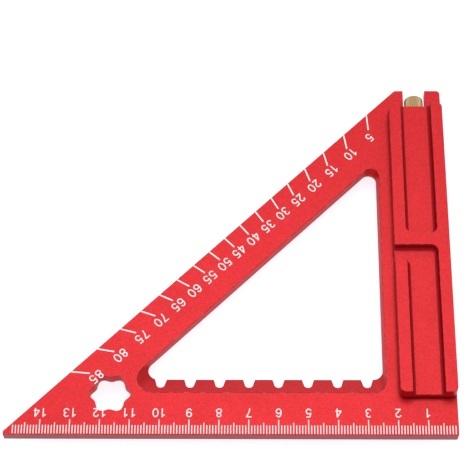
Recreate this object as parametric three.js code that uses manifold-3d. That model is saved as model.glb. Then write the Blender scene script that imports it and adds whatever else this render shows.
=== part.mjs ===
// Speed square: a triangular blade between two fence rails, with a scriber stowed in the fence.
// Millimetres. The pieces are drawn with the heel, where the ruler and outer edges meet, at X = 0, Y = 0.
// The blade's front face is at Z = 0, the ruler edge runs along -X and the fence along +Y.
import * as THREE from "three";
import { ConvexGeometry } from "three/addons/geometries/ConvexGeometry.js";
import { mergeVertices } from "three/addons/utils/BufferGeometryUtils.js";
import Module from "manifold-3d";

// Blade outline
const rulerLength = 152.2; // heel to the blunted tip
const tipHeight = 1.2; // height of the blunted tip
const topLand = 16.8; // width of the leg's top end, from its outer edge to the 45 degree edge
const bladeThickness = 4.1;
const heelRadius = 0.6;
const hornRadius = 1.4;

// Window with a bevelled ledge along the ruler edge and the fence
const windowBand = 16.2; // width of the band between the 45 degree edge and the window
const rulerBand = 15.2; // height of the band under the window, on the front face
const fenceBand = 4.3; // width of the band between the rail and the window, on the front face
const ledgeRise = 5.9; // width of the bevel above the ruler band
const ledgeSide = 0.9; // width of the bevel beside the fence band
const ledgeThickness = 1.5; // metal left at the bevel's thin edge
const windowTopRadius = 2.8; // corner radius at the window's top, on both faces
const windowLowRadius = 3.5; // lower corner radius of the through window
const bevelHeelRadius = 4.2; // corner radius of the bevel on the front face, at the heel
const bevelTipRadius = 5.2; // and towards the tip
const notchFirst = 30; // distance of the first scribing notch from the heel
const notchPitch = 10;
const notchWidth = 4.0; // at its mouth
const notchRootRadius = 1.4;
const notchDepth = 3.6;

// Six-lobed hanging hole
const starInset = 35.3; // its centre, from the tip
const starY = 14.9;
const starRadius = 6.4;
const starWave = 0.62;
const starLobes = 6;

// Fence rails, one on each face of the blade
const railWidth = 19.3;
const railBottom = 13.5; // height of the rails' lower end above the ruler edge
const railTopInset = 8.4; // the rails stop this far below the horns' tops
const railHeight = 5.2; // bars, above the blade's face
const channelRoof = 0.8; // metal between the scriber's channel and the pocket floor
const barWidth = 4.2;
const crossBarLow = 69.2;
const crossBarWidth = 4.7;
const ribGap = 5.3; // opening between the cross bar and the short rib
const railCornerRadius = 1.9;
const pocketRadius = 2.5;

// Fasteners
const fitGap = 0.3; // clearance round every screw, pin and plug
const barScrewRadius = 1.0;
const headWall = 0.15; // metal left between a countersink and its bar's side
const barScrewHeadHeight = 1.0;
const barScrewSocket = 0.7; // half the width of its hexagon socket
const crossScrewRadius = 1.25;
const crossScrewHeadHeight = 1.2;
const crossScrewSocket = 0.9;
const screwSkin = 1.2; // metal left in the front rail over a blind hole
const socketDepthShare = 0.6; // of the head's height
const lowScrewHeight = 9; // lowest bar screws, above the rails' lower end
const ribScrewInset = 9; // upper screws of the lower recess, below the rib's end
const highScrewInset = 9; // highest bar screws, below the rails' upper end
const pocketScrewInset = 8; // lowest screws of the pocket's bars, above the cross bar
const dowelRadius = 1.0;
const dowelBite = 3.2; // depth of each dowel in each rail

// Scriber and its channel
const scriberRadius = 3.45; // knurled brass handle
const scriberGap = 0.3; // running gap between the handle and its channel
const slotGap = 0.5; // at each side of the handle, between the horns and down behind the rails
const channelInset = 1.7; // the channel ends this far above the cross bar
const headInset = 2.0; // the handle's dome lies this far below the horns' tops
const handleLength = 24;
const handleDome = 1.5; // rise of the domed end
const gripLength = 9; // knurled head, next to the dome
const gripRelief = 0.35; // the plain shank is this much smaller than the head
const ringGrooveInset = 6; // O-ring groove, above the handle's lower end
const ringRadius = 0.5; // half the O-ring's thickness
const ringClearance = 0.05; // between the O-ring and its groove and channel
const needleRadius = 1.2;
const needleBite = 10; // length inside the handle
const needlePoint = 7; // length of its taper
const chuckLength = 5;
const chuckLip = 0.5; // wall of the chuck's nose
const grubRadius = 0.8;
const grubInset = 3; // above the handle's lower end
const plugHeight = 3;
const plugCup = 1.0; // depth of the dimple under the needle's point
const tipGap = 0.4; // between the needle's point and the plug

const anodised = { color: 0xd9262f, roughness: 0.42, metalness: 0.35 };
const brass = { color: 0xc9a862, roughness: 0.35, metalness: 0.9 };
const steel = { color: 0x9a9da3, roughness: 0.3, metalness: 0.95 };
const rubber = { color: 0x1b1b1d, roughness: 0.8, metalness: 0 };
const nylon = { color: 0xe8e6de, roughness: 0.55, metalness: 0 };

const wasm = await Module();
wasm.setup();

// Worked out from the sizes above
const hypotenuseReach = rulerLength + tipHeight; // where the 45 degree edge would meet the ruler edge
const legHeight = hypotenuseReach - topLand;
const railTop = legHeight - railTopInset;
const scriberX = -railWidth / 2;
const scriberZ = -bladeThickness / 2;
const channelRadius = scriberRadius + scriberGap;
const floorHeight = scriberZ + channelRadius + channelRoof; // pocket and recess floors, above the blade
const shankRadius = scriberRadius - gripRelief;
const pocketLow = crossBarLow + crossBarWidth;
const ribTop = crossBarLow - ribGap;
const handleTop = legHeight - headInset;
const handleLow = handleTop - handleLength;
const chuckLow = handleLow - fitGap - chuckLength;
const channelLow = pocketLow + channelInset;
const plugTop = channelLow + fitGap + plugHeight;
const pointY = plugTop - plugCup + tipGap;
const backFace = -bladeThickness - railHeight;
const windowX = -railWidth - fenceBand;
const windowReach = hypotenuseReach - windowBand * Math.SQRT2;
const ledgeY = rulerBand + ledgeRise;
const starX = starInset - rulerLength;
const over = 1; // how far cutters run past the faces that they cut

function solidOf(geometry) {
  const bare = geometry.clone();
  bare.deleteAttribute("normal");
  bare.deleteAttribute("uv");
  const merged = mergeVertices(bare, 1e-4);
  const index = merged.index;
  const mesh = new wasm.Mesh({
    numProp: 3,
    vertProperties: new Float32Array(merged.attributes.position.array),
    triVerts: new Uint32Array(index.array),
  });
  return new wasm.Manifold(mesh);
}

function geometryOf(solid) {
  const mesh = solid.getMesh();
  const geometry = new THREE.BufferGeometry();
  geometry.setAttribute("position", new THREE.BufferAttribute(mesh.vertProperties, 3));
  geometry.setIndex(new THREE.BufferAttribute(mesh.triVerts, 1));
  const flat = geometry.toNonIndexed();
  flat.computeVertexNormals();
  return flat;
}

function meshOf(name, geometry, look) {
  const mesh = new THREE.Mesh(geometry, new THREE.MeshStandardMaterial(look));
  mesh.name = name;
  return mesh;
}

// A shape in the XY plane, as a solid from low to high along Z
function slab(shape, low, high, curveSegments = 14) {
  const settings = { depth: high - low, bevelEnabled: false, curveSegments };
  return solidOf(new THREE.ExtrudeGeometry(shape, settings).translate(0, 0, low));
}

// A closed outline through corners, each rounded by its own radius
function roundedShape(corners) {
  const shape = new THREE.Shape();
  const count = corners.length;
  corners.forEach(([x, y, radius], i) => {
    const here = new THREE.Vector2(x, y);
    const before = new THREE.Vector2(...corners[(i + count - 1) % count]);
    const after = new THREE.Vector2(...corners[(i + 1) % count]);
    const back = before.sub(here).normalize();
    const on = after.sub(here).normalize();
    const half = Math.acos(THREE.MathUtils.clamp(back.dot(on), -1, 1)) / 2;
    const reach = radius / Math.tan(half);
    const start = here.clone().addScaledVector(back, reach);
    const end = here.clone().addScaledVector(on, reach);
    if (i === 0) shape.moveTo(start.x, start.y);
    else shape.lineTo(start.x, start.y);
    if (radius === 0) return;
    const bisector = back.clone().add(on).normalize();
    const centre = here.clone().addScaledVector(bisector, radius / Math.sin(half));
    const from = Math.atan2(start.y - centre.y, start.x - centre.x);
    const to = Math.atan2(end.y - centre.y, end.x - centre.x);
    const turn = on.cross(back);
    shape.absarc(centre.x, centre.y, radius, from, to, turn < 0);
  });
  shape.closePath();
  return shape;
}

// A turned piece about the Z axis from [radius, height] pairs, which start and end on the axis
function turned(profile, segments = 24) {
  const points = profile.map(([r, z]) => new THREE.Vector2(r, z));
  return new THREE.LatheGeometry(points, segments).rotateX(Math.PI / 2);
}

function rod(radius, low, high, x, y, segments = 24) {
  return solidOf(turned([[0, low], [radius, low], [radius, high], [0, high]], segments).translate(x, y, 0));
}

function hexPrism(halfWidth, low, high, x, y) {
  return rod(halfWidth / Math.cos(Math.PI / 6), low, high, x, y, 6);
}

// Fastener places: name, X, Y
const barLeftX = -railWidth + barWidth / 2;
const barRightX = -barWidth / 2;
const barScrewRows = [
  railBottom + lowScrewHeight,
  ribTop - ribScrewInset,
  pocketLow + pocketScrewInset,
  railTop - highScrewInset,
];
const barScrews = barScrewRows.flatMap((y, row) => [
  { name: `rail_screw_left_${row + 1}`, x: barLeftX, y },
  { name: `rail_screw_right_${row + 1}`, x: barRightX, y },
]);
const crossScrew = { name: "cross_bar_screw", x: scriberX, y: crossBarLow + crossBarWidth / 2 };
const dowelY = (barScrewRows[0] + barScrewRows[1]) / 2;
const dowels = [
  { name: "dowel_left", x: barLeftX, y: dowelY },
  { name: "dowel_right", x: barRightX, y: dowelY },
];

// A countersunk screw with its head flush in the back rail, and the hole that it needs
function screwProfile(radius, headRadius, headHeight, gap, length) {
  const tip = backFace + length + gap;
  return [
    [0, backFace],
    [headRadius + gap, backFace],
    [radius + gap, backFace + headHeight],
    [radius + gap, tip],
    [0, tip],
  ];
}

const screwLength = railHeight + bladeThickness + railHeight - screwSkin - fitGap;
const headRadiusIn = (bar) => bar / 2 - headWall - fitGap;
const barScrewSizes = [barScrewRadius, headRadiusIn(barWidth), barScrewHeadHeight];
const crossScrewSizes = [crossScrewRadius, headRadiusIn(crossBarWidth), crossScrewHeadHeight];

function screwHole({ x, y }, sizes) {
  return solidOf(turned(screwProfile(...sizes, fitGap, screwLength)).translate(x, y, 0));
}

function screw({ name, x, y }, sizes, socket) {
  const body = solidOf(turned(screwProfile(...sizes, 0, screwLength)).translate(x, y, 0));
  const socketDepth = sizes[2] * socketDepthShare;
  const recess = hexPrism(socket, backFace - over, backFace + socketDepth, x, y);
  return meshOf(name, geometryOf(body.subtract(recess)), steel);
}

function dowelHole({ x, y }) {
  const reach = dowelBite + fitGap;
  return rod(dowelRadius + fitGap, -bladeThickness - reach, reach, x, y);
}

function dowel({ name, x, y }) {
  return meshOf(name, geometryOf(rod(dowelRadius, -bladeThickness - dowelBite, dowelBite, x, y, 16)), steel);
}

// The hollow that the scriber slides in, along Y and open at the top
function channel() {
  const long = turned([[0, 0], [channelRadius, 0], [channelRadius, legHeight], [0, legHeight]], 28);
  return solidOf(long.rotateX(-Math.PI / 2).translate(scriberX, channelLow, scriberZ));
}

function holes() {
  const cuts = barScrews.map((place) => screwHole(place, barScrewSizes));
  cuts.push(screwHole(crossScrew, crossScrewSizes));
  return cuts.concat(dowels.map(dowelHole));
}

const without = (solid, cuts) => cuts.reduce((left, cut) => left.subtract(cut), solid);

function bladeOutline() {
  const topX = legHeight - hypotenuseReach;
  return roundedShape([
    [0, 0, heelRadius],
    [0, legHeight, hornRadius],
    [topX, legHeight, hornRadius],
    [-rulerLength, hypotenuseReach - rulerLength, 0],
    [-rulerLength, 0, 0],
  ]);
}

// The window's rounded triangle, for a given right side, lower side and lower corner radii
function windowShape(right, low, heelCorner, tipCorner) {
  return roundedShape([
    [right, low, heelCorner],
    [right, right + windowReach, windowTopRadius],
    [low - windowReach, low, tipCorner],
  ]);
}

function throughShape() {
  return windowShape(windowX - ledgeSide, ledgeY, windowLowRadius, windowLowRadius);
}

function ledgeBevel() {
  const ring = (shape, z) => shape.getPoints(14).map((p) => new THREE.Vector3(p.x, p.y, z));
  const front = windowShape(windowX, rulerBand, bevelHeelRadius, bevelTipRadius);
  const thin = ring(throughShape(), ledgeThickness - bladeThickness);
  return solidOf(new ConvexGeometry([...ring(front, over), ...ring(front, 0), ...thin]));
}

function notch(x) {
  const rootY = ledgeY - notchDepth + notchRootRadius;
  const shape = new THREE.Shape();
  shape.moveTo(x + notchWidth / 2, ledgeY + over);
  shape.lineTo(x - notchWidth / 2, ledgeY + over);
  shape.lineTo(x - notchWidth / 2, ledgeY);
  shape.lineTo(x - notchRootRadius, rootY);
  shape.absarc(x, rootY, notchRootRadius, Math.PI, Math.PI * 2, false);
  shape.lineTo(x + notchWidth / 2, ledgeY);
  shape.closePath();
  return slab(shape, -bladeThickness - over, over);
}

function starShape() {
  const steps = starLobes * 16;
  const points = Array.from({ length: steps }, (_, i) => {
    const angle = (i / steps) * Math.PI * 2;
    const radius = starRadius + starWave * Math.cos(starLobes * angle);
    return new THREE.Vector2(starX + radius * Math.cos(angle), starY + radius * Math.sin(angle));
  });
  return new THREE.Shape(points);
}

function slotShape() {
  const half = scriberRadius + slotGap;
  return roundedShape([
    [scriberX + half, legHeight + over, 0],
    [scriberX - half, legHeight + over, 0],
    [scriberX - half, channelLow, 0],
    [scriberX + half, channelLow, 0],
  ]);
}

function blade() {
  const low = -bladeThickness - over;
  const cuts = [
    slab(throughShape(), low, over),
    ledgeBevel(),
    slab(starShape(), low, over),
    slab(slotShape(), low, over),
  ];
  const ledgeEnd = windowReach - ledgeY - windowLowRadius / Math.tan(Math.PI / 8);
  for (let reach = notchFirst; reach <= ledgeEnd; reach += notchPitch) cuts.push(notch(-reach));
  const plate = slab(bladeOutline(), -bladeThickness, 0);
  return meshOf("blade", geometryOf(without(plate, cuts.concat(holes()))), anodised);
}

function railOutline() {
  return roundedShape([
    [0, railBottom, railCornerRadius],
    [0, railTop, railCornerRadius],
    [-railWidth, railTop, railCornerRadius],
    [-railWidth, railBottom, railCornerRadius],
  ]);
}

function pocketShape() {
  return roundedShape([
    [-barWidth, pocketLow, pocketRadius],
    [-barWidth, railTop + over, 0],
    [-railWidth + barWidth, railTop + over, 0],
    [-railWidth + barWidth, pocketLow, pocketRadius],
  ]);
}

// Open to the left above the rib, and downwards beside it
function recessShape() {
  const ribX = -railWidth + barWidth;
  return roundedShape([
    [-barWidth, railBottom - over, 0],
    [-barWidth, crossBarLow, pocketRadius],
    [-railWidth - over, crossBarLow, 0],
    [-railWidth - over, ribTop, 0],
    [ribX, ribTop, 0],
    [ribX, railBottom - over, 0],
  ]);
}

// The rib's rounded end is what a full round leaves of its square end
function ribEndCut() {
  const ribX = -railWidth + barWidth;
  const radius = barWidth / 2;
  const shape = new THREE.Shape();
  shape.moveTo(ribX, ribTop - radius);
  shape.absarc(ribX - radius, ribTop - radius, radius, 0, Math.PI, false);
  shape.lineTo(ribX - barWidth - over, ribTop - radius);
  shape.lineTo(ribX - barWidth - over, ribTop + over);
  shape.lineTo(ribX + over, ribTop + over);
  shape.lineTo(ribX + over, ribTop - radius);
  shape.closePath();
  return slab(shape, floorHeight, railHeight + over);
}

function railSolid() {
  const high = railHeight + over;
  return without(slab(railOutline(), 0, railHeight), [
    slab(pocketShape(), floorHeight, high),
    slab(recessShape(), floorHeight, high),
    ribEndCut(),
  ]);
}

function frontRail() {
  const solid = without(railSolid(), [channel(), ...holes()]);
  return meshOf("front_rail", geometryOf(solid), anodised);
}

function backRail() {
  const mirrored = railSolid().mirror([0, 0, 1]).translate([0, 0, -bladeThickness]);
  return meshOf("back_rail", geometryOf(without(mirrored, [channel(), ...holes()])), anodised);
}

// A turned piece of the scriber: profile heights are Y in the square
function onScriberAxis(solid) {
  return solid.rotate([-90, 0, 0]).translate([scriberX, 0, scriberZ]);
}

function domeProfile() {
  const base = handleTop - handleDome;
  const arc = [0, 0.35, 0.65, 0.9].map((part) => {
    const angle = (part * Math.PI) / 2;
    return [scriberRadius * Math.cos(angle), base + handleDome * Math.sin(angle)];
  });
  return [...arc, [0, handleTop]];
}

function scriberHandle() {
  const groove = shankRadius - ringRadius;
  const grooveY = handleLow + ringGrooveInset;
  const shoulder = handleTop - gripLength;
  const body = solidOf(
    turned(
      [
        [0, handleLow],
        [shankRadius, handleLow],
        [shankRadius, grooveY - ringRadius],
        [groove, grooveY - ringRadius],
        [groove, grooveY + ringRadius],
        [shankRadius, grooveY + ringRadius],
        [shankRadius, shoulder],
        [scriberRadius, shoulder + gripRelief],
        ...domeProfile(),
      ],
      28,
    ),
  );
  const needleHole = rod(needleRadius + fitGap, handleLow - over, handleLow + needleBite + fitGap, 0, 0, 20);
  const grubTop = scriberZ + scriberRadius + over;
  const grubHole = rod(grubRadius + fitGap, scriberZ, grubTop, scriberX, handleLow + grubInset);
  const shaped = onScriberAxis(body.subtract(needleHole)).subtract(grubHole);
  return meshOf("scriber_handle", geometryOf(shaped), brass);
}

function scriberPiece(name, profile, look, segments = 20) {
  const solid = onScriberAxis(solidOf(turned(profile, segments)));
  return meshOf(name, geometryOf(solid), look);
}

function scriberNeedle() {
  const top = handleLow + needleBite;
  return scriberPiece(
    "scriber_needle",
    [[0, pointY], [needleRadius, pointY + needlePoint], [needleRadius, top], [0, top]],
    steel,
  );
}

function scriberChuck() {
  const bore = needleRadius + fitGap;
  const high = chuckLow + chuckLength;
  const profile = [
    [bore, chuckLow],
    [bore + chuckLip, chuckLow],
    [shankRadius, chuckLow + chuckLength / 2],
    [shankRadius, high],
    [bore, high],
    [bore, chuckLow],
  ];
  return scriberPiece("scriber_chuck", profile, brass);
}

// The ring is flattened a little between its groove and the channel's wall
function scriberRing() {
  const y = handleLow + ringGrooveInset;
  const inner = shankRadius - ringRadius + ringClearance;
  const outer = channelRadius - ringClearance;
  const half = ringRadius - ringClearance;
  const rim = ringRadius / 3;
  const profile = [
    [inner, y - half + rim],
    [inner + rim, y - half],
    [outer - rim, y - half],
    [outer, y - half + rim],
    [outer, y + half - rim],
    [outer - rim, y + half],
    [inner + rim, y + half],
    [inner, y + half - rim],
    [inner, y - half + rim],
  ];
  return scriberPiece("scriber_o_ring", profile, rubber, 28);
}

function grubScrew() {
  const low = scriberZ + needleRadius + fitGap;
  const high = scriberZ + shankRadius - fitGap;
  const body = rod(grubRadius, low, high, scriberX, handleLow + grubInset, 16);
  return meshOf("scriber_grub_screw", geometryOf(body), steel);
}

function stopPlug() {
  const radius = channelRadius - fitGap;
  const low = channelLow + fitGap;
  const dimple = needleRadius + fitGap;
  return scriberPiece(
    "channel_stop_plug",
    [[0, low], [radius, low], [radius, plugTop], [dimple, plugTop], [0, plugTop - plugCup]],
    nylon,
    24,
  );
}

const square = new THREE.Group();
square.add(blade(), frontRail(), backRail(), stopPlug());
for (const place of barScrews) square.add(screw(place, barScrewSizes, barScrewSocket));
square.add(screw(crossScrew, crossScrewSizes, crossScrewSocket));
for (const place of dowels) square.add(dowel(place));

const scriber = new THREE.Group();
scriber.add(scriberHandle(), scriberNeedle(), scriberChuck(), scriberRing(), grubScrew());

// The part's own origin is the middle of its box, at the level of the back rail's outer face
const model = new THREE.Group();
model.add(square, scriber);
model.position.set(rulerLength / 2, -legHeight / 2, -backFace);

export default model;
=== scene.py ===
"""A metric speed square in red anodised aluminium, with a brass scriber stowed in its fence.

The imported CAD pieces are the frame. Every one of them is stood for by a finer piece made here:
the aluminium gets rounded edges and milled fillets, the scriber is knurled and turned, the screws
get threads and sockets, and the two scales are laid on the marked face as thin paint.
Lengths are millimetres until they are placed, and Blender's metres from then on.
"""

import math

import bmesh
import bpy
from mathutils import Matrix, Vector


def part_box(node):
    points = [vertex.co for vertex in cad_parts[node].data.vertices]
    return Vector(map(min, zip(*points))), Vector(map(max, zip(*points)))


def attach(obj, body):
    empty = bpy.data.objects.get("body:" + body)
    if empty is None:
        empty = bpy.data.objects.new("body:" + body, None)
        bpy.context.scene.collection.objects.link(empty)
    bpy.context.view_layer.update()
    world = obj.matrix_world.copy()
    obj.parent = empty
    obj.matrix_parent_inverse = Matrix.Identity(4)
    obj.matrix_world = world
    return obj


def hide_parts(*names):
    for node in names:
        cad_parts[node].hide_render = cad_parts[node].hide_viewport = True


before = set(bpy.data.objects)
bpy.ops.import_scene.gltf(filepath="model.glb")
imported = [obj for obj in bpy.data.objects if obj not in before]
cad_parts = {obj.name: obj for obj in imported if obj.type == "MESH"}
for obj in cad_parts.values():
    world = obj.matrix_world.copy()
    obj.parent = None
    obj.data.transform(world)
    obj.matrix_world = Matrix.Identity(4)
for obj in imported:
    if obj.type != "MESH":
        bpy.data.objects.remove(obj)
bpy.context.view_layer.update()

MM = 0.001

# Places taken from the frame
blade_low, blade_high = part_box("blade")
HEEL = Vector((blade_high.x, blade_low.y, blade_high.z))  # where the ruler and outer edges meet, marked face
handle_low, handle_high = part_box("scriber_handle")
needle_low, needle_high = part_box("scriber_needle")
chuck_low, chuck_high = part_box("scriber_chuck")
ring_low, ring_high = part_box("scriber_o_ring")
grub_low, grub_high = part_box("scriber_grub_screw")
plug_low, plug_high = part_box("channel_stop_plug")
AXIS_X = (handle_low.x + handle_high.x) / 2
AXIS_Z = (handle_low.z + handle_high.z) / 2

# Camera, from the heel corner
CAMERA_FROM_HEEL = Vector((-63.6, -206.9, 519.2)) * MM
CAMERA_TILT = math.radians(28.56)
CAMERA_YAW = math.radians(1.13)
CAMERA_LENS = 127.74
SENSOR_WIDTH = 36

# Edges of the aluminium
WELD = 1e-6
IN_PLANE = WELD * 10  # a corner this near a plane lies in it
FLAT_ANGLE = math.radians(0.5)
SHARP_ANGLE = math.radians(20)
EDGE_ROUND = 0.13 * MM  # less than the metal beside a countersink
EDGE_STEPS = 3
FILLET = 1.2 * MM  # where a pocket's wall meets its floor
FILLET_STEPS = 5
ROUND_PROFILE = 0.5  # the bevel's value for a circular arc
FACE, EDGE, WALL, GUIDE, ROOT = range(5)  # material slots of an aluminium piece
UPRIGHT = 0.45  # a face whose normal rises less than this is a wall
SQUARE_TO = 0.1  # a normal with less than this along an axis is square to it
LEVEL = 0.99  # a face whose normal rises more than this is a floor
SLOPING = (0.2, 0.9)  # how much the normals of countersinks and of the scriber's channel rise
# Painted shade in the inside corners of the aluminium, found by an ambient-occlusion test
CORNER_SHADE_REACH = 1.5 * MM  # how far the painted shade reaches out of an inside corner
CORNER_SHADE_SAMPLES = 8
CORNER_SHADE_DARKEST = 0.5  # share of the colour that the painted shade leaves in the tightest corner
CORNER_SHADE_OPENNESS = (0.5, 0.9)  # the painted shade ends at the second of these

# Where smooth shading gives way to a sharp edge, in degrees
SMOOTH_ALUMINIUM = 50
SMOOTH_TURNED = 35
SMOOTH_RING = 60
SMOOTH_FLAT = 30

# Heights of the surface grain, in metres
PAINT_GRAIN = 0.00001
FINE_GRAIN = 0.00002
MILL_LINES = 0.00003
BLASTED_GRAIN = 0.00005

HANDLING_MARK = (0.80, 0.20, 0.20, 1)
WORN_DYE = (0.80, 0.36, 0.34, 1)


# ---------------------------------------------------------------- materials

def new_material(name):
    material = bpy.data.materials.new(name)
    material.use_nodes = True
    return material, material.node_tree, material.node_tree.nodes["Principled BSDF"]


def add_node(tree, kind, inputs, **settings):
    """A node whose sockets are set to plain values or linked to other sockets."""
    made = tree.nodes.new(kind)
    for name, value in settings.items():
        setattr(made, name, value)
    for name, value in inputs.items():
        if isinstance(value, bpy.types.NodeSocket):
            tree.links.new(value, made.inputs[name])
        else:
            made.inputs[name].default_value = value
    return made


def set_shader(shader, values):
    for name, value in values.items():
        shader.inputs[name].default_value = value


def object_place(tree, scale=(1, 1, 1)):
    """Object coordinates, stretched by scale."""
    place = tree.nodes.new("ShaderNodeTexCoord").outputs["Object"]
    return add_node(tree, "ShaderNodeMapping", {"Vector": place, "Scale": scale}).outputs["Vector"]


def noise(tree, place, scale, detail=2.0, roughness=0.5):
    values = {"Vector": place, "Scale": scale, "Detail": detail, "Roughness": roughness}
    return add_node(tree, "ShaderNodeTexNoise", values).outputs["Fac"]


def spread(tree, value, low, high, start=0.3, end=0.7):
    """Noise between start and end, taken to low and high."""
    values = {"Value": value, "From Min": start, "From Max": end, "To Min": low, "To Max": high}
    return add_node(tree, "ShaderNodeMapRange", values).outputs["Result"]


def mixed(tree, factor, first, second, blend="MIX"):
    made = tree.nodes.new("ShaderNodeMix")
    made.data_type = "RGBA"
    made.blend_type = blend
    for socket, value in ((made.inputs[0], factor), (made.inputs[6], first), (made.inputs[7], second)):
        if isinstance(value, bpy.types.NodeSocket):
            tree.links.new(value, socket)
        else:
            socket.default_value = value
    return made.outputs[2]


def bump(tree, height, strength, distance, under=None):
    values = {"Height": height, "Strength": strength, "Distance": distance}
    if under is not None:
        values["Normal"] = under
    return add_node(tree, "ShaderNodeBump", values).outputs["Normal"]


def corner_shade(tree, colour):
    """Painted shade: darkens the colour in inside corners, as far as an ambient-occlusion test finds them
    closed in.
    """
    values = {"Distance": CORNER_SHADE_REACH}
    open_part = add_node(tree, "ShaderNodeAmbientOcclusion", values, samples=CORNER_SHADE_SAMPLES)
    shade = spread(tree, open_part.outputs["AO"], CORNER_SHADE_DARKEST, 1.0, *CORNER_SHADE_OPENNESS)
    return mixed(tree, 1.0, colour, shade, "MULTIPLY")


def anodised(name, deep, bright, roughness, worn=0.0):
    """Dyed oxide over blasted aluminium: grain, patchy dye, handling marks, worn spots on edges, and painted
    shade in inside corners.
    """
    material, tree, shader = new_material(name)
    place = object_place(tree)
    grain = noise(tree, place, 1900, 3, 0.65)
    patches = noise(tree, place, 70, 3, 0.6)
    colour = mixed(tree, spread(tree, grain, 0, 1, 0.32, 0.68), deep, bright)
    shade = mixed(tree, spread(tree, patches, 0, 1), (0.94, 0.94, 0.94, 1), (1.05, 1.05, 1.05, 1))
    colour = mixed(tree, 1.0, colour, shade, "MULTIPLY")
    streaks = noise(tree, object_place(tree, (1, 14, 1)), 300, 2)
    marks = spread(tree, streaks, 0, 0.06, 0.66, 0.74)
    colour = mixed(tree, marks, colour, HANDLING_MARK)
    if worn:
        spots = spread(tree, noise(tree, place, 420, 4, 0.7), 0, worn, 0.5, 0.62)
        colour = mixed(tree, spots, colour, WORN_DYE)
    # painted shade in inside corners, over the dyed colour
    tree.links.new(corner_shade(tree, colour), shader.inputs["Base Color"])
    rough = spread(tree, patches, roughness - 0.04, roughness + 0.05)
    tree.links.new(rough, shader.inputs["Roughness"])
    fine = bump(tree, noise(tree, place, 5200, 2), 0.30, FINE_GRAIN)
    tree.links.new(bump(tree, grain, 0.22, BLASTED_GRAIN, fine), shader.inputs["Normal"])
    set_shader(shader, {"Metallic": 0.95, "Coat Weight": 0.22, "Coat Roughness": 0.32})
    return material


def milled_wall(name, deep, bright, finish):
    """Dye on milled side walls and fillets, with fine lines along the cut and painted shade in inside
    corners.
    """
    material, tree, shader = new_material(name)
    lines = noise(tree, object_place(tree, (1, 1, 60)), 160, 2)
    grain = noise(tree, object_place(tree), 2600, 2)
    colour = mixed(tree, spread(tree, grain, 0, 1), deep, bright)
    colour = mixed(tree, spread(tree, lines, 0, 0.35), colour, deep)
    # painted shade in inside corners, over the dyed colour
    tree.links.new(corner_shade(tree, colour), shader.inputs["Base Color"])
    tree.links.new(spread(tree, lines, 0.38, 0.5), shader.inputs["Roughness"])
    tree.links.new(bump(tree, lines, 0.25, MILL_LINES), shader.inputs["Normal"])
    set_shader(shader, finish)
    return material


def turned_metal(name, dark, light, roughness, ring_scale=(0, 1, 0), tarnish=0.25):
    """Bar stock off a lathe: fine rings round the axis and a little tarnish."""
    material, tree, shader = new_material(name)
    rings = noise(tree, object_place(tree, ring_scale), 5200, 3, 0.7)
    stains = noise(tree, object_place(tree), 380, 4, 0.6)
    colour = mixed(tree, spread(tree, rings, 0, 1), dark, light)
    colour = mixed(tree, spread(tree, stains, 0, tarnish), colour, dark)
    tree.links.new(colour, shader.inputs["Base Color"])
    tree.links.new(spread(tree, stains, roughness - 0.06, roughness + 0.08), shader.inputs["Roughness"])
    tree.links.new(bump(tree, rings, 0.2, FINE_GRAIN), shader.inputs["Normal"])
    set_shader(shader, {"Metallic": 1.0})
    return material


def moulded(name, dark, light, roughness, grain_scale, depth):
    """Rubber, nylon and paint: a soft grain and slightly uneven gloss."""
    material, tree, shader = new_material(name)
    place = object_place(tree)
    grain = noise(tree, place, grain_scale, 3, 0.6)
    cloud = noise(tree, place, grain_scale / 12, 2)
    colour = mixed(tree, spread(tree, cloud, 0, 1), dark, light)
    tree.links.new(colour, shader.inputs["Base Color"])
    tree.links.new(spread(tree, grain, roughness - 0.06, roughness + 0.06), shader.inputs["Roughness"])
    tree.links.new(bump(tree, grain, 0.3, depth), shader.inputs["Normal"])
    return material


MATT_DYE = {"Metallic": 0.35, "Specular IOR Level": 0.15}  # cut walls stay red even at a glancing angle
RED_FACE = anodised("anodised_face", (0.37, 0.006, 0.009, 1), (0.52, 0.014, 0.019, 1), 0.46)
# Rounded edges: dyed darker than the faces as painted shade, a dark line along the chamfers; the pale spots
# on them are wear
RED_EDGE_SHADE_AND_WEAR = anodised("anodised_edge_shade_and_wear", (0.19, 0.006, 0.012, 1), (0.30, 0.012, 0.020, 1), 0.44, worn=0.20)
RED_WALL = milled_wall("anodised_wall", (0.40, 0.003, 0.006, 1), (0.52, 0.004, 0.008, 1), MATT_DYE)
# The ruler's guide edge faces away from the key light; its darker colour is painted shade
RED_GUIDE_SHADED = milled_wall("anodised_guide_edge_shaded", (0.19, 0.003, 0.008, 1), (0.26, 0.005, 0.012, 1),
                        {"Metallic": 1.0, "Coat Weight": 0.3, "Coat Roughness": 0.3})
# Fillets at the foot of pocket walls: the round is real, its darker colour is painted shade along the walls
RED_FILLET_SHADE = milled_wall("anodised_fillet_painted_shade", (0.24, 0.001, 0.003, 1), (0.32, 0.002, 0.004, 1), MATT_DYE)
ALUMINIUM_FINISHES = [RED_FACE, RED_EDGE_SHADE_AND_WEAR, RED_WALL, RED_GUIDE_SHADED, RED_FILLET_SHADE]  # in the order of the slots above
BRASS = turned_metal("knurled_brass", (0.34, 0.24, 0.115, 1), (0.60, 0.45, 0.25, 1), 0.48)
STEEL = turned_metal("zinc_screw_steel", (0.36, 0.36, 0.37, 1), (0.62, 0.62, 0.63, 1), 0.30, (0, 0, 1))
TOOL_STEEL = turned_metal("ground_tool_steel", (0.30, 0.31, 0.33, 1), (0.58, 0.59, 0.61, 1), 0.24)
RUBBER = moulded("nitrile_rubber", (0.010, 0.010, 0.011, 1), (0.022, 0.022, 0.024, 1), 0.62, 2400, FINE_GRAIN)
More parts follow.
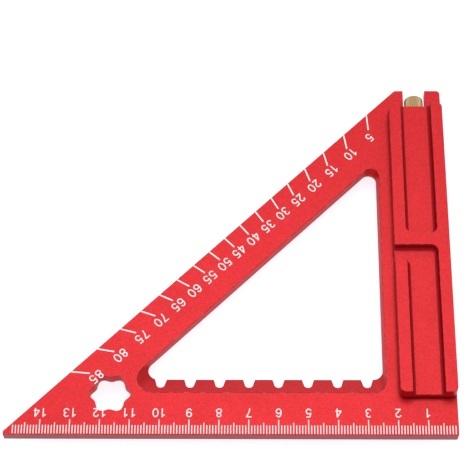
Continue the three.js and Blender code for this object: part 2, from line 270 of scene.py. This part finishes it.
NYLON = moulded("natural_nylon", (0.66, 0.64, 0.57, 1), (0.76, 0.74, 0.68, 1), 0.5, 1800, FINE_GRAIN)
PAINT = moulded("scale_paint", (0.74, 0.68, 0.68, 1), (0.86, 0.81, 0.81, 1), 0.55, 3200, PAINT_GRAIN)


# ---------------------------------------------------------------- mesh helpers

def as_object(bm, name, materials, smooth_angle):
    mesh = bpy.data.meshes.new(name)
    bmesh.ops.recalc_face_normals(bm, faces=bm.faces)
    bm.to_mesh(mesh)
    bm.free()
    for material in materials:
        mesh.materials.append(material)
    mesh.shade_smooth()
    mesh.set_sharp_from_angle(angle=smooth_angle)
    made = bpy.data.objects.new(name, mesh)
    bpy.context.scene.collection.objects.link(made)
    return made


def settle(piece, body, node):
    """The piece rides on its body and stands for its CAD node."""
    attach(piece, body)
    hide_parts(node)
    return piece


def weight_normals(piece):
    weighted = piece.modifiers.new("flat_faces", "WEIGHTED_NORMAL")
    weighted.keep_sharp = True


def is_floor_corner(edge, floor, open_side):
    """A concave edge between an upright wall and the pocket floor at that height.

    Where a wall turns to face the fence's open side, the floor beside it is too narrow for a fillet.
    """
    if len(edge.link_faces) != 2 or edge.is_convex:
        return False
    wall, ground = sorted(edge.link_faces, key=lambda face: abs(face.normal.z))
    at_floor = all(abs(vert.co.z - floor) < IN_PLANE for vert in edge.verts)
    near = min(vert.co.x for vert in edge.verts) < open_side + 2 * FILLET
    runs_out = near and wall.normal.x < -SQUARE_TO
    upright = abs(wall.normal.z) < SQUARE_TO
    return at_floor and upright and abs(ground.normal.z) > LEVEL and not runs_out


def is_sloping_rim(edge):
    """An edge of a countersink or of the scriber's channel, whose faces slope."""
    low, high = SLOPING
    return any(low < abs(face.normal.z) < high for face in edge.link_faces)


def round_off(bm, edges, width, steps, slot):
    """Puts an arc of that width in place of the edges, with its own material slot."""
    bmesh.ops.bevel(bm, geom=edges, offset=width, offset_type="OFFSET", segments=steps,
                    profile=ROUND_PROFILE, affect="EDGES", clamp_overlap=False, material=slot)


def face_slot(face):
    """Milled walls, the smooth edge that the ruler's scale runs along, or a blasted face."""
    if abs(face.normal.z) >= UPRIGHT:
        return FACE
    on_guide = all(abs(vert.co.y - blade_low.y) < IN_PLANE for vert in face.verts)
    return GUIDE if on_guide else WALL


def aluminium_piece(node, floors=()):
    """The node's shape with filleted pocket floors and rounded edges, finished face by face.

    The rims of a rail's countersinks and channel stay sharp.
    """
    bm = bmesh.new()
    bm.from_mesh(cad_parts[node].data)
    bmesh.ops.remove_doubles(bm, verts=bm.verts, dist=WELD)
    bmesh.ops.dissolve_limit(bm, angle_limit=FLAT_ANGLE, verts=bm.verts, edges=bm.edges)
    bm.normal_update()
    for face in bm.faces:
        face.material_index = face_slot(face)
    open_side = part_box(node)[0].x
    sloping = [edge for edge in bm.edges if floors and is_sloping_rim(edge)]
    rim_corners = {vert for edge in sloping for vert in edge.verts}
    for floor in floors:
        corners = [edge for edge in bm.edges if is_floor_corner(edge, floor, open_side)]
        round_off(bm, corners, FILLET, FILLET_STEPS, ROOT)
    bm.normal_update()
    sharp = [edge for edge in bm.edges if len(edge.link_faces) == 2 and edge.is_convex
             and edge.calc_face_angle() > SHARP_ANGLE and not rim_corners.issuperset(edge.verts)]
    round_off(bm, sharp, EDGE_ROUND, EDGE_STEPS, EDGE)
    bmesh.ops.dissolve_degenerate(bm, dist=WELD, edges=bm.edges)
    piece = as_object(bm, node + "_finished", ALUMINIUM_FINISHES, math.radians(SMOOTH_ALUMINIUM))
    weight_normals(piece)
    return settle(piece, "square", node)


def plain(radius, angle, height):
    return radius


def hexagon(half_width, angle, height):
    """Corners every sixth of a turn; half_width is the distance to the flats."""
    sixth = math.pi / 3
    return half_width / math.cos(angle % sixth - sixth / 2)


def knurl(teeth, depth):
    """Straight axial teeth cut into the radius."""
    def form(radius, angle, height):
        return radius - depth * (0.5 + 0.5 * math.cos(teeth * angle)) ** 2
    return form


def thread(depth, pitch):
    """A right-hand V thread cut into the radius."""
    def form(radius, angle, height):
        turn = (height / pitch - angle / (2 * math.pi)) % 1
        return radius - depth * abs(2 * turn - 1)
    return form


def turned_mesh(rows, segments, closed=False):
    """A bmesh turned about Z from rows of (radius, height, form), in millimetres."""
    bm = bmesh.new()
    rings = []
    for radius, height, form in rows:
        if radius == 0:
            rings.append([bm.verts.new((0, 0, height * MM))] * segments)
            continue
        ring = []
        for step in range(segments):
            angle = 2 * math.pi * step / segments
            reach = form(radius, angle, height) * MM
            ring.append(bm.verts.new((reach * math.cos(angle), reach * math.sin(angle), height * MM)))
        rings.append(ring)
    pairs = list(zip(rings, rings[1:]))
    if closed:
        pairs.append((rings[-1], rings[0]))
    for first, second in pairs:
        for step in range(segments):
            after = (step + 1) % segments
            corners = [first[step], first[after], second[after], second[step]]
            bm.faces.new(list(dict.fromkeys(corners)))
    return bm


def turned_piece(node, body, material, rows, segments, matrix, closed=False,
                 smooth=SMOOTH_TURNED):
    bm = turned_mesh(rows, segments, closed)
    bmesh.ops.transform(bm, matrix=matrix, verts=bm.verts)
    piece = as_object(bm, node + "_finished", [material], math.radians(smooth))
    return settle(piece, body, node)


def cut_away(piece, cutter):
    """Takes the cutter's shape out of the piece for good."""
    carve = piece.modifiers.new("carve", "BOOLEAN")
    carve.operation = "DIFFERENCE"
    carve.solver = "EXACT"
    carve.object = cutter
    carved = piece.evaluated_get(bpy.context.evaluated_depsgraph_get())
    mesh = bpy.data.meshes.new_from_object(carved)
    piece.modifiers.remove(carve)
    piece.data = mesh
    bpy.data.objects.remove(cutter)


# ---------------------------------------------------------------- aluminium

POCKET_DEPTH = 2.7  # pocket and recess floors, below the bars
_, front_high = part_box("front_rail")
back_low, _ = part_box("back_rail")

aluminium_piece("blade")
aluminium_piece("front_rail", floors=[front_high.z - POCKET_DEPTH * MM])
aluminium_piece("back_rail", floors=[back_low.z + POCKET_DEPTH * MM])


# ---------------------------------------------------------------- scriber

KNURL_TEETH = 28
KNURL_STEPS = 8  # vertices across one tooth
KNURL_DEPTH = 0.25
KNURL_RUN_IN = ((0.35, 0.0), (0.6, 0.6), (0.9, 1.0))  # height above the shoulder, share of the depth
RUN_IN_RELIEF = 0.1
GRIP_LENGTH = 9
GRIP_RELIEF = 0.35
DOME_RISE = 1.5
FULLNESS = 0.8  # a cosine to this power gives a fuller round than a circle
GROOVE_DEPTH = 0.5
RING_PLAY = 0.05
NECK_DEPTH = 0.12  # the turned line between shank and grip
BORE_OVERRUN = 0.3
GRUB_PLAY = 0.3
NEEDLE_CLEARANCE = 0.3
NEEDLE_TAPER = 7
NEEDLE_BITE = 10

handle_radius = (handle_high.x - handle_low.x) / 2 / MM
needle_radius = (needle_high.x - needle_low.x) / 2 / MM
shank_radius = handle_radius - GRIP_RELIEF
on_scriber_axis = Matrix.Translation((AXIS_X, 0, AXIS_Z)) @ Matrix.Rotation(math.radians(-90), 4, "X")


def scriber_handle():
    """Knurled head with a domed end, plain shank with its ring groove, and the needle's bore."""
    low, high = handle_low.y / MM, handle_high.y / MM
    ring_y = (ring_low.y + ring_high.y) / 2 / MM
    groove_half = (ring_high.y - ring_low.y) / 2 / MM + RING_PLAY
    groove_radius = shank_radius - GROOVE_DEPTH
    bore = needle_radius + NEEDLE_CLEARANCE
    chamfer = 0.2
    shoulder = high - GRIP_LENGTH
    rows = [
        (0, low + NEEDLE_BITE + BORE_OVERRUN, plain),
        (bore, low + NEEDLE_BITE + BORE_OVERRUN, plain),
        (bore, low + chamfer, plain),
        (bore + chamfer, low, plain),
        (shank_radius - chamfer, low, plain),
        (shank_radius, low + chamfer, plain),
        (shank_radius, ring_y - groove_half, plain),
        (groove_radius, ring_y - groove_half, plain),
        (groove_radius, ring_y + groove_half, plain),
        (shank_radius, ring_y + groove_half, plain),
        (shank_radius, shoulder - 0.1, plain),
        (shank_radius - NECK_DEPTH, shoulder, plain),
        (shank_radius - NECK_DEPTH, shoulder + 0.3, plain),
    ]
    base = high - DOME_RISE
    for rise, share in KNURL_RUN_IN:
        radius = handle_radius - RUN_IN_RELIEF * (1 - share)
        rows.append((radius, shoulder + rise, knurl(KNURL_TEETH, KNURL_DEPTH * share)))
    full = KNURL_RUN_IN[-1][0]
    grip_steps = 6
    for step in range(1, grip_steps + 1):
        height = shoulder + full + (base - shoulder - full) * step / grip_steps
        rows.append((handle_radius, height, knurl(KNURL_TEETH, KNURL_DEPTH)))
    dome_steps = 9
    for step in range(1, dome_steps):
        angle = math.pi / 2 * step / dome_steps
        fade = max(0, 1 - step / (dome_steps - 2))
        radius = handle_radius * math.cos(angle) ** FULLNESS
        rows.append((radius, base + DOME_RISE * math.sin(angle), knurl(KNURL_TEETH, KNURL_DEPTH * fade)))
    rows.append((0, high, plain))
    segments = KNURL_TEETH * KNURL_STEPS
    piece = turned_piece("scriber_handle", "scriber", BRASS, rows, segments, on_scriber_axis)
    grub_radius = (grub_high.x - grub_low.x) / 2 / MM + GRUB_PLAY
    over = 2
    hole = turned_mesh([(0, 0, plain), (grub_radius, 0, plain), (grub_radius, handle_radius + over, plain),
                        (0, handle_radius + over, plain)], 32)
    cutter = as_object(hole, "grub_hole_cutter", [BRASS], math.radians(SMOOTH_TURNED))
    cutter.location = (AXIS_X, (grub_low.y + grub_high.y) / 2, AXIS_Z)
    bpy.context.view_layer.update()
    cut_away(piece, cutter)


def scriber_needle():
    low, high = needle_low.y / MM, needle_high.y / MM
    rows = [
        (0, low, plain),
        (needle_radius * 0.12, low + NEEDLE_TAPER * 0.1, plain),
        (needle_radius * 0.97, low + NEEDLE_TAPER * 0.98, plain),
        (needle_radius, low + NEEDLE_TAPER * 1.03, plain),
        (needle_radius, high - 0.3, plain),
        (needle_radius - 0.2, high, plain),
        (0, high, plain),
    ]
    turned_piece("scriber_needle", "scriber", TOOL_STEEL, rows, 48, on_scriber_axis)


def scriber_chuck():
    low, high = chuck_low.y / MM, chuck_high.y / MM
    bore = needle_radius + NEEDLE_CLEARANCE
    middle = (low + high) / 2
    rows = [
        (bore, low + 0.15, plain),
        (bore + 0.12, low, plain),
        (bore + 0.42, low, plain),
        (bore + 0.55, low + 0.12, plain),
        (shank_radius - 0.1, middle - 0.1, plain),
        (shank_radius, middle + 0.05, plain),
        (shank_radius, high - 0.75, plain),
        (shank_radius - 0.12, high - 0.65, plain),
        (shank_radius - 0.12, high - 0.45, plain),
        (shank_radius, high - 0.35, plain),
        (shank_radius, high - 0.12, plain),
        (shank_radius - 0.12, high, plain),
        (bore + 0.15, high, plain),
        (bore, high - 0.15, plain),
    ]
    turned_piece("scriber_chuck", "scriber", BRASS, rows, 64, on_scriber_axis, closed=True)


def scriber_o_ring():
    """Round rubber section, flattened a little where the channel and the groove press it."""
    middle = (ring_low.y + ring_high.y) / 2 / MM
    half = (ring_high.y - ring_low.y) / 2 / MM
    outer = (ring_high.x - ring_low.x) / 2 / MM
    inner = shank_radius - GROOVE_DEPTH + RING_PLAY
    centre = (outer + inner) / 2
    reach = (outer - inner) / 2
    steps = 20
    rows = []
    for step in range(steps):
        angle = 2 * math.pi * step / steps
        across = math.copysign(abs(math.cos(angle)) ** FULLNESS, math.cos(angle))
        along = math.copysign(abs(math.sin(angle)) ** FULLNESS, math.sin(angle))
        rows.append((centre + reach * across, middle + half * along, plain))
    turned_piece("scriber_o_ring", "scriber", RUBBER, rows, 72, on_scriber_axis,
                 closed=True, smooth=SMOOTH_RING)


def socket_rows(half_width, depth, face_radius, chamfer):
    """The hexagon socket and the face round it, from the middle outwards, with the face at height 0."""
    return [
        (0, depth + half_width * 0.35, plain),
        (half_width, depth, hexagon),
        (half_width, 0.08, hexagon),
        (half_width + 0.08, 0, hexagon),
        (face_radius - chamfer, 0, plain),
    ]


def threaded_rows(radius, depth, pitch, start, end):
    """Rings close enough together to draw the thread, run out at both ends."""
    steps = math.ceil((end - start) / pitch * 6)
    rows = []
    for step in range(steps + 1):
        height = start + (end - start) * step / steps
        run = min(1, min(step, steps - step) / 6)
        rows.append((radius, height, thread(depth * run, pitch)))
    return rows


def scriber_grub_screw():
    radius = (grub_high.x - grub_low.x) / 2 / MM
    length = (grub_high.z - grub_low.z) / MM
    rows = socket_rows(0.4, length * 0.45, radius, 0.12)
    rows += threaded_rows(radius, 0.16, 0.35, 0.12, length - 0.25)
    rows += [(radius - 0.3, length, plain), (0, length, plain)]
    middle = ((grub_low.x + grub_high.x) / 2, (grub_low.y + grub_high.y) / 2, grub_high.z)
    matrix = Matrix.Translation(middle) @ Matrix.Rotation(math.pi, 4, "X")
    turned_piece("scriber_grub_screw", "scriber", STEEL, rows, 24, matrix)


def channel_stop_plug():
    low, high = plug_low.y / MM, plug_high.y / MM
    radius = (plug_high.x - plug_low.x) / 2 / MM
    dimple = needle_radius + NEEDLE_CLEARANCE
    rows = [
        (0, low, plain),
        (radius - 0.3, low, plain),
        (radius, low + 0.3, plain),
        (radius, high - 0.3, plain),
        (radius - 0.3, high, plain),
        (dimple + 0.15, high, plain),
        (dimple, high - 0.12, plain),
        (0.2, high - 0.95, plain),
        (0, high - 1.0, plain),
    ]
    turned_piece("channel_stop_plug", "square", NYLON, rows, 56, on_scriber_axis)


scriber_handle()
scriber_needle()
scriber_chuck()
scriber_o_ring()
scriber_grub_screw()
channel_stop_plug()


# ---------------------------------------------------------------- fasteners

def screw_rows(head_radius, head_height, radius, pitch, length, socket):
    rows = socket_rows(socket, head_height * 0.6, head_radius, 0.06)
    rows += [(head_radius, 0.06, plain), (radius, head_height, plain)]
    rows += threaded_rows(radius, pitch * 0.45, pitch, head_height + 0.1, length - 0.35)
    rows += [(radius - 0.35, length, plain), (0, length, plain)]
    return rows


def screw(node, head_height, radius, pitch, socket):
    """A countersunk socket screw that goes up into the front rail from the back."""
    low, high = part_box(node)
    head_radius = (high.x - low.x) / 2 / MM
    length = (high.z - low.z) / MM
    matrix = Matrix.Translation(((low.x + high.x) / 2, (low.y + high.y) / 2, low.z))
    rows = screw_rows(head_radius, head_height, radius, pitch, length, socket)
    turned_piece(node, "square", STEEL, rows, 24, matrix)


def dowel(node):
    """A ground pin with a rounded lead at each end."""
    low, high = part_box(node)
    radius = (high.x - low.x) / 2 / MM
    length = (high.z - low.z) / MM
    lead = 0.35
    rows = [
        (0, 0, plain),
        (radius * 0.7, 0.02, plain),
        (radius * 0.9, lead * 0.4, plain),
        (radius, lead, plain),
        (radius, length - lead, plain),
        (radius * 0.9, length - lead * 0.4, plain),
        (radius * 0.7, length - 0.02, plain),
        (0, length, plain),
    ]
    matrix = Matrix.Translation(((low.x + high.x) / 2, (low.y + high.y) / 2, low.z))
    turned_piece(node, "square", TOOL_STEEL, rows, 40, matrix)


for side in ("left", "right"):
    for row in (1, 2, 3, 4):
        screw(f"rail_screw_{side}_{row}", head_height=1.0, radius=1.0, pitch=0.4, socket=0.7)
    dowel(f"dowel_{side}")
screw("cross_bar_screw", head_height=1.2, radius=1.25, pitch=0.45, socket=0.9)


# ---------------------------------------------------------------- scales

PAINT_SINK = 0.004  # how far the paint's underside lies in the oxide
PAINT_RISE = 0.014
PAINT_STEP = 0.0006  # crossing strokes differ by this, so no two faces lie in one plane
STROKE = 0.12  # of a digit's height
DIGIT_WIDTH = 0.65
DIGIT_ADVANCE = 0.80
ARC_STEP = math.radians(12)
CLOSED_WITHIN = 0.01  # a stroke whose ends are nearer than this share of its width is a ring
SHARPEST_MITRE = 0.5
PAINT_LEVELS = 3  # no digit has more strokes than this

RULER_START = 0.35
TICK_ENDS = {10: 5.4, 5: 4.3, 1: 3.4}
TICK_WIDTH = 0.34
RULER_DIGIT = 3.2
RULER_DIGIT_Y = 7.85
RULER_MILLIMETRES = 149

TIP_HEIGHT = 1.2
ANGLE_STEP = 5
PIVOT = Vector((-17.5, 12.9))
ANGLE_MARK_START = 0.15
ANGLE_MARK_LENGTH = 5.0
ANGLE_MARK_WIDTH = 0.5
ANGLE_DIGIT = 3.4
ANGLE_LABEL_INSET = 7.55
LABEL_DRIFT = 0.035  # the labels slide along the edge by this for each degree away from 45


def arc(centre, radii, start, end):
    """Points of an elliptical arc, angles in degrees."""
    start, end = math.radians(start), math.radians(end)
    steps = max(2, math.ceil(abs(end - start) / ARC_STEP))
    points = []
    for step in range(steps + 1):
        angle = start + (end - start) * step / steps
        points.append((centre[0] + radii[0] * math.cos(angle), centre[1] + radii[1] * math.sin(angle)))
    return points


def digit_strokes(digit):
    """Centre lines of a plain sans digit, one unit high, with half a stroke kept at each side."""
    half = STROKE / 2
    top = 1 - half
    middle = DIGIT_WIDTH / 2
    round_six = [
        arc((middle, 0.315), (0.25, 0.25), 0, 360),
        arc((middle + 0.01, 0.5), (0.26, top - 0.5), 190, 35),
    ]
    strokes = {
        "0": [arc((middle, 0.5), (middle - half, top - 0.5), 0, 360)],
        "1": [[(0.42, 0), (0.42, 1)], [(0.40, 0.93), (0.30, 0.80), (0.15, 0.71)]],
        "2": [
            arc((0.32, 0.69), (0.245, top - 0.69), 175, -35) + [(0.10, half * 1.2)],
            [(0.05, half), (0.62, half)],
        ],
        "3": [
            arc((0.31, 0.725), (0.215, top - 0.725), 155, -90),
            arc((0.31, 0.295), (0.25, 0.235), 90, -165),
        ],
        "4": [[(0.46, 0), (0.46, 0.97)], [(0.44, 0.95), (0.06, 0.30)], [(0.02, 0.26), (0.62, 0.26)]],
        "5": [
            [(0.57, top), (0.14, top)],
            [(0.17, top), (0.10, 0.48)],
            arc((0.31, 0.335), (0.25, 0.27), 145, -165),
        ],
        "6": round_six,
        "7": [[(0.04, top), (0.61, top)], [(0.57, top - 0.02), (0.36, 0.58), (0.26, 0.28), (0.23, 0)]],
        "8": [
            arc((middle, 0.735), (0.20, top - 0.735), 0, 360),
            arc((middle, 0.29), (0.255, 0.225), 0, 360),
        ],
        "9": [[(DIGIT_WIDTH - x, 1 - y) for x, y in stroke] for stroke in round_six],
    }
    return strokes[digit]


class Inlay:
    """Paint strokes on the marked face, gathered into one mesh. Points are millimetres from the heel."""

    def __init__(self):
        self.bm = bmesh.new()
        self.strokes = 0

    def stroke(self, points, width):
        points = [Vector(point) for point in points]
        closed = (points[0] - points[-1]).length < width * CLOSED_WITHIN
        if closed:
            points = points[:-1]
        count = len(points)
        rise = (PAINT_RISE + PAINT_STEP * (self.strokes % PAINT_LEVELS)) * MM
        self.strokes += 1
        rows = []
        for i, point in enumerate(points):
            before = points[i - 1] if i > 0 or closed else point
            after = points[(i + 1) % count] if i < count - 1 or closed else point
            into = (point - before).normalized()
            out = (after - point).normalized()
            along = (into + out).normalized()
            stretch = 1 / max(SHARPEST_MITRE, along.dot(out if out.length else into))
            side = Vector((-along.y, along.x)) * (width / 2 * stretch)
            sink = -PAINT_SINK * MM
            corners = []
            for offset, height in ((side, rise), (-side, rise), (-side, sink), (side, sink)):
                flat = point + offset
                corners.append(self.bm.verts.new(HEEL + Vector((flat.x * MM, flat.y * MM, height))))
            rows.append(corners)
        pairs = list(zip(rows, rows[1:]))
        if closed:
            pairs.append((rows[-1], rows[0]))
        for first, second in pairs:
            for k in range(4):
                self.bm.faces.new((first[k], first[(k + 1) % 4], second[(k + 1) % 4], second[k]))
        if not closed:
            self.bm.faces.new(rows[0])
            self.bm.faces.new(rows[-1])

    def label(self, text, centre, reading, height):
        """Digits centred on a point; reading is the direction that the text runs in."""
        reading = Vector(reading).normalized()
        upward = Vector((-reading.y, reading.x))
        length = DIGIT_ADVANCE * (len(text) - 1) + DIGIT_WIDTH
        for i, digit in enumerate(text):
            corner = Vector(centre) + (reading * (DIGIT_ADVANCE * i - length / 2) - upward * 0.5) * height
            for points in digit_strokes(digit):
                placed = [corner + (reading * x + upward * y) * height for x, y in points]
                self.stroke(placed, STROKE * height)

    def finish(self, name):
        piece = as_object(self.bm, name, [PAINT], math.radians(SMOOTH_FLAT))
        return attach(piece, "square")


def ruler_scale():
    inlay = Inlay()
    for millimetre in range(1, RULER_MILLIMETRES + 1):
        step = max(step for step in TICK_ENDS if millimetre % step == 0)
        inlay.stroke([(-millimetre, RULER_START), (-millimetre, TICK_ENDS[step])], TICK_WIDTH)
        if step == 10:
            inlay.label(str(millimetre // 10), (-millimetre, RULER_DIGIT_Y), (-1, 0), RULER_DIGIT)
    inlay.finish("ruler_scale")


def angle_scale():
    """Rays from the pivot, every five degrees, and their labels along the 45 degree edge."""
    inlay = Inlay()
    reach = (blade_high.x - blade_low.x) / MM + TIP_HEIGHT
    across = reach + PIVOT.x - PIVOT.y
    for degrees in range(ANGLE_STEP, 90, ANGLE_STEP):
        angle = math.radians(degrees)
        ray = Vector((-math.sin(angle), math.cos(angle)))
        slope = math.cos(angle) + math.sin(angle)

        def at(inset):
            return PIVOT + ray * ((across - inset * math.sqrt(2)) / slope)

        inlay.stroke([at(ANGLE_MARK_START), at(ANGLE_MARK_LENGTH)], ANGLE_MARK_WIDTH)
        slide = LABEL_DRIFT * (degrees - 45)
        if degrees < 10:
            slide += ANGLE_DIGIT * DIGIT_ADVANCE / 2  # a lone digit stands in the units' place
        centre = at(ANGLE_LABEL_INSET) + Vector((-1, -1)).normalized() * slide
        inlay.label(str(degrees), centre, (-1, -1), ANGLE_DIGIT)
    inlay.finish("angle_scale")


ruler_scale()
angle_scale()


# ---------------------------------------------------------------- stage

def floor():
    """A wide pale table top."""
    material, tree, shader = new_material("pale_table")
    place = object_place(tree)
    cloud = spread(tree, noise(tree, place, 6, 2), 0, 1)
    colour = mixed(tree, cloud, (0.44, 0.43, 0.46, 1), (0.47, 0.46, 0.49, 1))
    tree.links.new(colour, shader.inputs["Base Color"])
    tree.links.new(spread(tree, noise(tree, place, 40, 3), 0.75, 0.85), shader.inputs["Roughness"])
    set_shader(shader, {"Emission Color": (0.98, 0.96, 1, 1), "Emission Strength": 0.8})
    half = 3.0
    cells = 6
    bm = bmesh.new()
    bmesh.ops.create_grid(bm, x_segments=cells, y_segments=cells, size=half)
    piece = as_object(bm, "table", [material], math.radians(SMOOTH_FLAT))


def softbox(name, place, size, power):
    """A square area light, aimed at the middle of the object."""
    light = bpy.data.lights.new(name, "AREA")
    light.shape = "SQUARE"
    light.size = size
    light.energy = power
    made = bpy.data.objects.new(name, light)
    made.location = place
    made.rotation_mode = "QUATERNION"
    made.rotation_quaternion = Vector(place).to_track_quat("Z", "Y")
    bpy.context.scene.collection.objects.link(made)


def studio():
    softbox("key_softbox", (0, 0.26, 0.95), 0.62, 3.4)
    softbox("left_softbox", (-0.95, -0.05, 0.75), 0.7, 0.8)
    softbox("right_softbox", (0.95, 0.05, 0.75), 0.7, 0.8)
    softbox("back_softbox", (0, 1.3, 0.35), 1.0, 2.5)
    world = bpy.data.worlds.new("studio_room")
    world.use_nodes = True
    background = world.node_tree.nodes["Background"]
    background.inputs["Color"].default_value = (1, 1, 1, 1)
    background.inputs["Strength"].default_value = 0.85
    bpy.context.scene.world = world
    bpy.context.scene.view_settings.view_transform = "Standard"


def camera():
    made = bpy.data.objects.new("camera", bpy.data.cameras.new("camera"))
    made.data.lens = CAMERA_LENS
    made.data.sensor_width = SENSOR_WIDTH
    turn = Matrix.Rotation(CAMERA_TILT, 4, "X") @ Matrix.Rotation(CAMERA_YAW, 4, "Y")
    made.matrix_world = Matrix.Translation(HEEL + CAMERA_FROM_HEEL) @ turn
    bpy.context.scene.collection.objects.link(made)
    bpy.context.scene.camera = made


floor()
studio()
camera()
